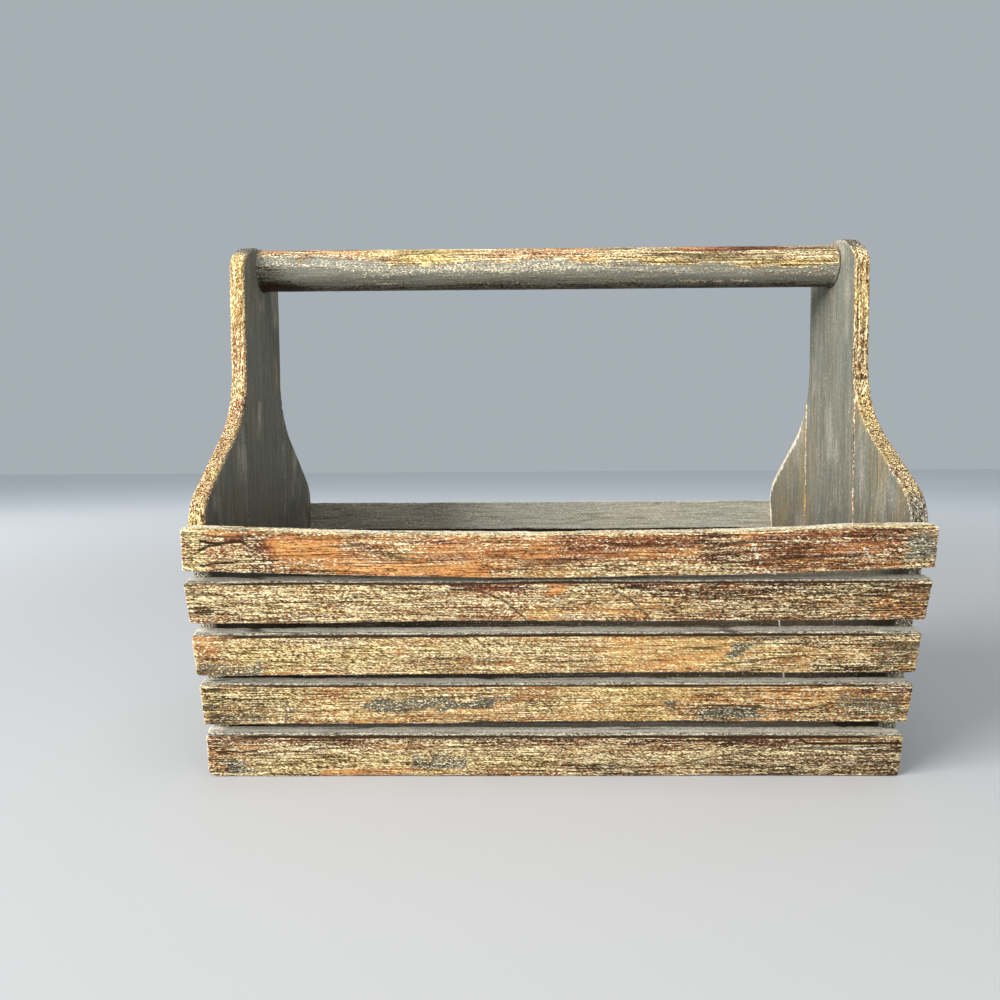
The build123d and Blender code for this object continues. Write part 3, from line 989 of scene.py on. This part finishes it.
def make_bottom(material):
    """The bottom boards, painted thinly and hardly worn, and darkened with painted shade."""
    for number in range(1, bottom_boards + 1):
        name = f"bottom_board_{number}"
        low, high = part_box(name)
        length, width = high.x - low.x, high.y - low.y
        seed = 900 + number
        points, quads, normals, cracks = bar_mesh(length, width, bottom_board_thickness, seed, 1.8, 0.3)
        patches = random_patches(np.random.default_rng(seed), 8)
        outer = patched(points, length, width, bottom_base_shares, patches, seed + 20)
        # The boards' upper faces get darker paint: painted shade inside the basket
        coat = bar_coat(points, normals, outer, seed, 0, 0.2)
        # The bar's outer face is turned down to the ground.
        laid = np.stack([points[:, 0], points[:, 2] + low.y, points[:, 1] + low.z], -1)
        piece = make_object(f"worn_{name}", laid, quads[:, ::-1].tolist())
        paint(piece, "coat", coat)
        # Every face is mixed toward night: painted shade inside the basket
        paint(piece, "wear", [0, 0.7 * cracks, 0.15, 0.38])
        finish_piece(piece, material, name)


# End boards

def arc_points(centre, radius, start, stop, steps):
    """Points along a circle's arc, in angles."""
    angles = np.linspace(start, stop, steps)
    return [(centre[0] + radius * cos(a), centre[1] + radius * sin(a)) for a in angles]


def rounded_corner(before, corner, after, radius, steps=14):
    """Points along the arc that rounds a corner between two straight runs."""
    a = (np.array(before) - corner) / np.linalg.norm(np.array(before) - corner)
    b = (np.array(after) - corner) / np.linalg.norm(np.array(after) - corner)
    half = np.arccos(np.clip(a @ b, -1, 1)) / 2
    centre = np.array(corner) + (a + b) / np.linalg.norm(a + b) * radius / sin(half)
    start = np.array(corner) + a * radius / tan(half) - centre
    end = np.array(corner) + b * radius / tan(half) - centre
    turn = np.arctan2(start[0] * end[1] - start[1] * end[0], start @ end)
    points = []
    for step in np.linspace(0, turn, steps):
        points.append((centre[0] + start[0] * cos(step) - start[1] * sin(step),
                       centre[1] + start[0] * sin(step) + start[1] * cos(step)))
    return points


def half_outline():
    """The end board's outline on its +Y side, from the ground to the top, as places across and up."""
    foot = foot_half - slat_thickness / cos(side_slope)
    neck_half = neck_width / 2
    fall = tan(flare_angle)
    lean = tan(side_slope)
    meet_y = (foot + flare_height * lean + neck_half * fall * lean) / (1 + fall * lean)
    shoulder = (meet_y, flare_height - (meet_y - neck_half) * fall)
    hollow = (neck_half, flare_height)
    crown_radius = (neck_half**2 + neck_crown**2) / (2 * neck_crown)
    crown_z = overall_height - crown_radius
    corner_y = neck_half - neck_corner_radius
    corner_z = crown_z + sqrt((crown_radius - neck_corner_radius) ** 2 - corner_y**2)
    corner_turn = asin((corner_z - crown_z) / (crown_radius - neck_corner_radius))
    points = [(foot, 0)]
    points += rounded_corner((foot, 0), shoulder, hollow, shoulder_radius)
    points += rounded_corner(shoulder, hollow, (neck_half, overall_height), hollow_radius, 24)
    points += arc_points((corner_y, corner_z), neck_corner_radius, 0, corner_turn, 10)
    points += arc_points((0, crown_z), crown_radius, corner_turn, pi / 2, 14)[1:]
    return points


def clipped(points, low, high):
    """The part of a polygon whose first coordinate lies from low to high."""
    for bound, sign in ((low, 1), (high, -1)):
        kept = []
        for a, b in zip(points, points[1:] + points[:1]):
            da, db = sign * (a[0] - bound), sign * (b[0] - bound)
            if da >= 0:
                kept.append(a)
            if da * db < 0:
                share = da / (da - db)
                kept.append((a[0] + (b[0] - a[0]) * share, a[1] + (b[1] - a[1]) * share))
        points = kept
    return points


def plank_mesh(name, outline, low_x, high_x):
    """A closed plank over an outline in YZ, rebuilt as an even mesh."""
    work = bmesh.new()
    loops = []
    area = sum(a[0] * b[1] - b[0] * a[1] for a, b in zip(outline, outline[1:] + outline[:1]))
    ring = outline if area > 0 else outline[::-1]
    rims = ((low_x, board_bevel), (low_x + board_bevel, 0), (high_x - board_bevel, 0), (high_x, board_bevel))
    for x, inset in rims:
        loop = []
        for before, here, after in zip(ring[-1:] + ring[:-1], ring, ring[1:] + ring[:1]):
            a = Vector((here[0] - before[0], here[1] - before[1])).normalized()
            b = Vector((after[0] - here[0], after[1] - here[1])).normalized()
            side = Vector((-a.y - b.y, a.x + b.x)).normalized()
            reach = inset / max(0.5, side.dot(Vector((-a.y, a.x))))
            if abs(abs(here[0]) - glue_joint) < joint_tolerance:
                reach *= 0.25
            loop.append(work.verts.new((x, here[0] + side.x * reach, here[1] + side.y * reach)))
        loops.append(loop)
    count = len(ring)
    for lower, upper in zip(loops, loops[1:]):
        for i in range(count):
            j = (i + 1) % count
            work.faces.new((lower[i], lower[j], upper[j], upper[i]))
    work.faces.new(loops[0][::-1])
    work.faces.new(loops[-1])
    bmesh.ops.triangulate(work, faces=work.faces[:])
    bmesh.ops.recalc_face_normals(work, faces=work.faces[:])
    mesh = bpy.data.meshes.new(name)
    work.to_mesh(mesh)
    work.free()
    piece = add_object(name, mesh)
    remesh = piece.modifiers.new("even", "REMESH")
    remesh.mode = "VOXEL"
    remesh.voxel_size = board_voxel
    evaluated = piece.evaluated_get(bpy.context.evaluated_depsgraph_get())
    even = bpy.data.meshes.new_from_object(evaluated)
    piece.modifiers.clear()
    piece.data = even
    even.shade_smooth()
    return piece


def mesh_arrays(piece):
    """A mesh's points and their outward directions."""
    count = len(piece.data.vertices)
    points, normals = np.empty(count * 3), np.empty(count * 3)
    piece.data.vertices.foreach_get("co", points)
    piece.data.vertices.foreach_get("normal", normals)
    return points.reshape(-1, 3), normals.reshape(-1, 3)


def board_relief(points, end, seed, seam, head, on_rim, rasped, split):
    """How far each point of a plank stands out from the flat board, in millimetres."""
    ridges = rough_noise(points, (2.6, 2.6, 60), seed, 2)
    fibres = rough_noise(points, (1.6, 1.6, 14), seed + 3, 2)
    waves = soft_noise(points, (40, 25, 60), seed + 5)
    relief = 0.09 * ridges + 0.07 * fibres + 0.15 * waves + 0.38 * on_rim * rasped
    relief -= 0.2 * fade(seam, *glue_groove_stretch) * (1 - 0.7 * on_rim)
    relief -= 0.8 * split
    sunk = fade(head, screw_head_diameter * 0.5, screw_head_diameter * 0.58)
    sunk *= points[:, 0] * end > end_mid_x
    return np.where(sunk > 0, -0.3 * sunk, relief)


def board_layers(points, end, seed, rim, seam, head, depth, on_face, on_rim, split):
    """The coat of a plank and its wear, with painted shade on its inner face."""
    y, z = points.T[1:]
    look = end_looks[end]
    lit = end > 0
    drift = rough_noise(points, (12, 12, 40), seed + 9)
    ragged = rough_noise(points, (3, 3, 6), seed + 11)
    blotches = rough_noise(points, (14, 14, 30), seed + 13)
    frayed = rough_noise(points, (2.4, 1.6, 3.2), seed + 15, 2)
    inner_face = on_face * (depth < board_thickness / 2)
    rear = lit * rise(y, *rear_stretch)
    wander = (0.9 + 1.2 * rear) * mm * (drift + ragged) + 1.6 * mm * rear * frayed
    edge = fade(rim + wander, 0.4 * mm, (2.6 + 5.4 * rear) * mm) * (1 - on_rim)
    seam_wear = fade(seam + 0.9 * mm * ragged, *seam_wear_stretch) * rise(drift, -0.7, 0.1)
    seam_wear *= look["seam"] * (1 - 0.75 * fade(z, *seam_stretch))
    crown = on_rim * rise(z, *crown_stretch)
    slatted = on_rim * fade(z, *slatted_stretch)
    smeared_foot = lit * on_rim * (y < 0) * fade(z + 3 * mm * ragged, *smear_stretch)
    low_rim = on_rim * fade(z, *low_rim_stretch)
    foot_rim = lit * on_rim * fade(z, *foot_rim_stretch)

    cream_share = 0.04 + (look["cream"] + look["cream_drift"] * drift) * on_rim + 0.42 * edge
    cream_share += 0.50 * seam_wear - 0.03 * low_rim + 0.04 * crown + 0.05 * slatted
    grey_share = 0.98 - (0.80 - 0.1 * drift) * on_rim - 0.45 * edge - 0.5 * seam_wear
    grey_share += 0.7 * slatted + 0.55 * crown + 0.45 * smeared_foot * (1 - slatted) + 0.10 * foot_rim
    warm = 0.35 + (look["warm"] - 0.3 * slatted) * on_rim + 0.25 * drift - 0.12 * crown
    if lit:
        seamward = rise(np.abs(y - cool_centre), *cool_stretch)
        warm = warm + inner_face * (0.38 * seamward * (0.8 + 0.9 * drift) - 0.05)
    dark = 0.02 + look["dark"] * on_rim + look["crown_dark"] * crown - 0.1 * slatted
    dark = dark + look["low_dark"] * low_rim + 0.05 * foot_rim

    worn_line = (0.36 + 0.50 * rear) * edge
    low_rear = (y > 0) * fade(z, *low_rear_stretch)
    worn_line += (0.5 + 0.2 * frayed) * seam_wear * (1 - low_rear) * (1 - on_rim)
    pale = 0.3 * smeared_foot + (look["pale"] + look["crown_pale"] * crown) * on_rim + worn_line
    glue_line = fade(seam, *glue_line_stretch) * (1 - on_rim)
    arris_line = bell(depth - look["arris_depth"] + 0.25 * mm * ragged, arris_line_reach) * on_rim
    crack = np.maximum(0.35 * glue_line, np.maximum(0.7 * arris_line, split))
    ringed = bell(head - ring_radius, ring_reach) * rise(z - handle_height, *ring_stretch)
    smeared = look["smear"] * rise(blotches, 0.1, 0.8) + 0.5 * lit * inner_face * ringed
    # Painted shade: the inner faces are a little darker all over and darker still towards the bottom, the
    # left board's most
    deep = fade(z, *shade_stretch) + 0.42 * fade(z, *deep_shade_stretch)
    clean_and_unshaded = (1 - 0.13 * inner_face) * (1 - look["shade"] * inner_face * deep)
    return [cream_share, grey_share, warm, dark], [pale, crack, smeared, clean_and_unshaded]


def make_end(name, end, material):
    """The three planks of one end board."""
    half = half_outline()
    whole = half + [(-across, up) for across, up in reversed(half[:-1])]
    low_x, high_x = sorted((end * end_inner_x, end * end_outer_x))
    spans = (("front", -1, -glue_joint), ("middle", -glue_joint, glue_joint), ("back", glue_joint, 1))
    for number, (plank, low, high) in enumerate(spans):
        node = f"{name}_end_{plank}_plank"
        seed = 2000 + (500 if end > 0 else 0) + 40 * number
        piece = plank_mesh(f"worn_{node}", clipped(whole, low, high), low_x, high_x)
        points, normals = mesh_arrays(piece)
        x, y, z = points.T
        rim = line_distance(points[:, 1:], whole)
        seam = np.abs(np.abs(y) - glue_joint)
        head = np.hypot(y, z - handle_height)
        depth = x * end - end_inner_x
        on_face = rise(np.abs(normals[:, 0]), 0.45, 0.85)
        on_rim = (1 - on_face) * fade(rim, *rim_stretch)
        rasped = rough_noise(points, (2.4, 2.4, 4.0), seed + 6, 2)
        split = (end > 0) * on_rim * bell(z - split_height + 0.4 * mm * rasped, split_reach)
        relief = board_relief(points, end, seed, seam, head, on_rim, rasped, split)
        points += normals * (relief * mm)[:, None]
        x -= end * toe_in[end] * rise(y, *toe_in_stretch)
        z -= crown_wear[end] * rise(z, *crown_wear_stretch)
        piece.data.vertices.foreach_set("co", points.ravel())
        coat, wear = board_layers(points, end, seed, rim, seam, head, depth, on_face, on_rim, split)
        paint(piece, "coat", coat)
        paint(piece, "wear", wear)
        finish_piece(piece, material, node)


# Handle

def rod_faces(rows, columns):
    """The faces of a closed rod whose points lie in rows of rings."""
    i, j = np.meshgrid(np.arange(rows - 1), np.arange(columns), indexing="ij")
    k = (j + 1) % columns
    quads = np.stack([i * columns + j, i * columns + k, (i + 1) * columns + k, (i + 1) * columns + j], -1)
    last_ring = (rows - 1) * columns
    caps = [list(range(columns))[::-1], list(range(last_ring, last_ring + columns))]
    return quads.reshape(-1, 4).tolist() + caps


def make_handle(material):
    """The round rod, a little out of true, with its paint bridging to the necks at both ends."""
    stations = ruled(-end_inner_x, end_inner_x, rod_step, rod_end_zone, rod_near_end)
    angles = np.linspace(0, 2 * pi, rod_sides, endpoint=False)
    x, angle = (part.ravel() for part in np.meshgrid(stations, angles, indexing="ij"))
    radial = np.stack([0 * angle, -np.sin(angle), np.cos(angle)], -1)
    up = radial[:, 2]
    radius = handle_diameter / 2
    base = np.stack([x, radius * radial[:, 1], radius * up + handle_height], -1)
    ridges = rough_noise(base, (70, 3, 3), 3001, 2)
    fibres = rough_noise(base, (11, 1.1, 1.1), 3003, 2)
    lumps = rough_noise(base, (6, 3, 3), 3005, 3)
    drift = rough_noise(base, (30, 8, 8), 3007, 4)
    ragged = rough_noise(base, (2.2, 1.3, 1.3), 3009, 2)
    hairs = rough_noise(base, (48, 1.5, 1.5), 3011, 2)

    # Where the paint is left below the level, flakes at it and is gone above it
    bridge = fade(end_inner_x - np.abs(x), 0, bridge_reach)
    yellow = bell(x - rod_yellow_place, rod_yellow_reach)
    right = rise(x, *rod_right)
    level = up + 0.18 * drift + 0.10 * lumps + 0.13 * yellow
    for share, start, full in rod_rises:
        level += share * rise(x, start, full)
    bare = rise(level + 0.12 * ragged, 0.34, 0.5) * (1 - bridge)
    flaking = bell(level - 0.12, 0.29) * (1 - bridge) * (0.7 + 0.3 * rise(x, *rod_flakes))
    relief = 0.35 + 0.08 * ridges + 0.07 * fibres + 0.12 * lumps - 0.2 * bare + 0.12 * flaking * ragged
    relief *= mm
    relief += 1.1 * mm * bridge**2
    points = base + radial * relief[:, None]
    piece = make_object("worn_handle_rod", points, rod_faces(len(stations), rod_sides))

    # Yellowed and browned stretches, dark smudges, painted shade on the underside and long lines
    yellowed = yellow * rise(level, 0.4, 0.6) + 0.8 * right * bell(level - 0.62, 0.16) * (1 - bridge)
    smudged = fade(x + 12 * mm * drift + 6 * mm * ragged, *rod_smudge) * fade(level, -0.2, 0.35)
    lined = sum(plateau(x, *places) for places in rod_low_lines)
    low_line = bell(up + 0.80 + 0.05 * lumps, 0.06)
    low_line *= np.maximum(0.6 * rise(drift, -0.1, 0.3), lined * rise(lumps, -0.5, 0.0))
    browned = rise(up + 0.10 * drift, 0.48, 0.66) * plateau(x, *rod_browned) * (0.75 + 0.6 * ridges)
    drawn_line = rise(hairs, 0.12, 0.34) * bare
    for drawn_up in drawn_line_shares:
        line = bell(up - drawn_up + 0.04 * ridges, 0.055) * plateau(x, *rod_drawn)
        drawn_line = np.maximum(drawn_line, line)
    crease = fade(end_inner_x - x, *crease_stretch) * rise(-up, -0.8, -0.5)
    cream_share = 0.20 + (0.25 + 0.15 * right) * bare + 0.68 * flaking * (1 - 0.45 * right)
    cream_share += 0.34 * yellowed + 0.6 * low_line - 0.32 * browned
    grey_share = 1.0 - 0.95 * bare - 0.36 * flaking - 0.6 * low_line + 0.1 * drift
    warm = 0.44 + 0.2 * drift + 0.30 * yellowed - 0.02 * right - 0.20 * browned
    # The last term darkens the rod's underside: painted shade
    dark = 0.06 + 0.32 * bare + 0.42 * smudged + 0.5 * rise(-up + 0.12 * drift, 0.6, 0.98)
    paint(piece, "coat", [cream_share, grey_share, warm, dark])
    scarred = np.maximum(drawn_line * (0.35 + 0.45 * right), 0.75 * crease)
    paint(piece, "wear", [0.2 * flaking + 0.6 * low_line, scarred, 0.30 * flaking, 1])
    finish_piece(piece, material, "handle_rod")


# Stage, light and camera

def make_stage():
    """A pale floor with painted light and shade, lighter far off, a soft world and large soft lights."""
    corners = [(-1, -1), (1, -1), (1, 1), (-1, 1)]
    mesh = bpy.data.meshes.new("floor")
    mesh.from_pydata([(x * floor_reach, y * floor_reach, 0) for x, y in corners], [], [(0, 1, 2, 3)])
    floor = add_object("floor", mesh)
    floor.location.z = -floor_drop
    g = Graph("pale_floor")
    cloud = g.noise((cloud_size,) * 3, 2, 0.5)
    away = g.node("ShaderNodeVectorMath", {0: g.place}, operation="LENGTH").outputs["Value"]
    # Painted light and shade: the floor is darker near the basket and lighter far off
    colour = g.mix(g.step(away, *floor_glow_stretch), floor_near_painted_shade, floor_far_painted_light)
    floor.data.materials.append(g.close(colour, 0.75, cloud, cloud_depth))

    world = bpy.data.worlds.new("studio")
    bpy.context.scene.world = world
    world.use_nodes = True
    background = world.node_tree.nodes["Background"]
    background.inputs["Color"].default_value = (*sky, 1)
    background.inputs["Strength"].default_value = 1.0

    for name, place, size, power in lamps:
        light = bpy.data.lights.new(name, "AREA")
        light.size = size
        light.energy = power
        lamp = add_object(name, light)
        lamp.location = place
        lamp.rotation_euler = (Vector(lamp_aim) - Vector(place)).to_track_quat("-Z", "Y").to_euler()


def make_camera():
    """The photograph's camera."""
    right = Vector((cos(camera_yaw), -sin(camera_yaw), 0))
    forward = Vector((sin(camera_yaw) * cos(camera_pitch), cos(camera_yaw) * cos(camera_pitch),
                      -sin(camera_pitch)))
    down = forward.cross(right)
    turned_right = right * cos(camera_roll) + down * sin(camera_roll)
    turned_down = down * cos(camera_roll) - right * sin(camera_roll)
    data = bpy.data.cameras.new("camera")
    data.sensor_width = sensor
    data.lens = focal_pixels / image_pixels * sensor
    data.clip_start = nearest_seen
    camera = add_object("camera", data)
    matrix = Matrix((turned_right, -turned_down, -forward)).transposed().to_4x4()
    matrix.translation = camera_place
    camera.matrix_world = matrix
    bpy.context.scene.camera = camera


bpy.context.scene.view_settings.view_transform = "Standard"
make_camera()
make_stage()
slat_finish = worn_finish("slat_finish", 0, flecks=0.12)
board_finish = worn_finish("board_finish", 2, flecks=0.04)
handle_finish = worn_finish("handle_finish", 0, 0.9)
make_slats("front", slat_finish)
make_slats("back", slat_finish)
make_bottom(slat_finish)
make_end("left", -1, board_finish)
make_end("right", 1, board_finish)
make_handle(handle_finish)
nail_steel = dull_steel("nail_steel", nail_metal, nail_rust)
screw_steel = dull_steel("screw_steel", screw_metal, screw_paint)
for node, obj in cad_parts.items():
    if "nails" in node or "screw" in node:
        obj.data.materials.clear()
        obj.data.materials.append(screw_steel if "screw" in node else nail_steel)
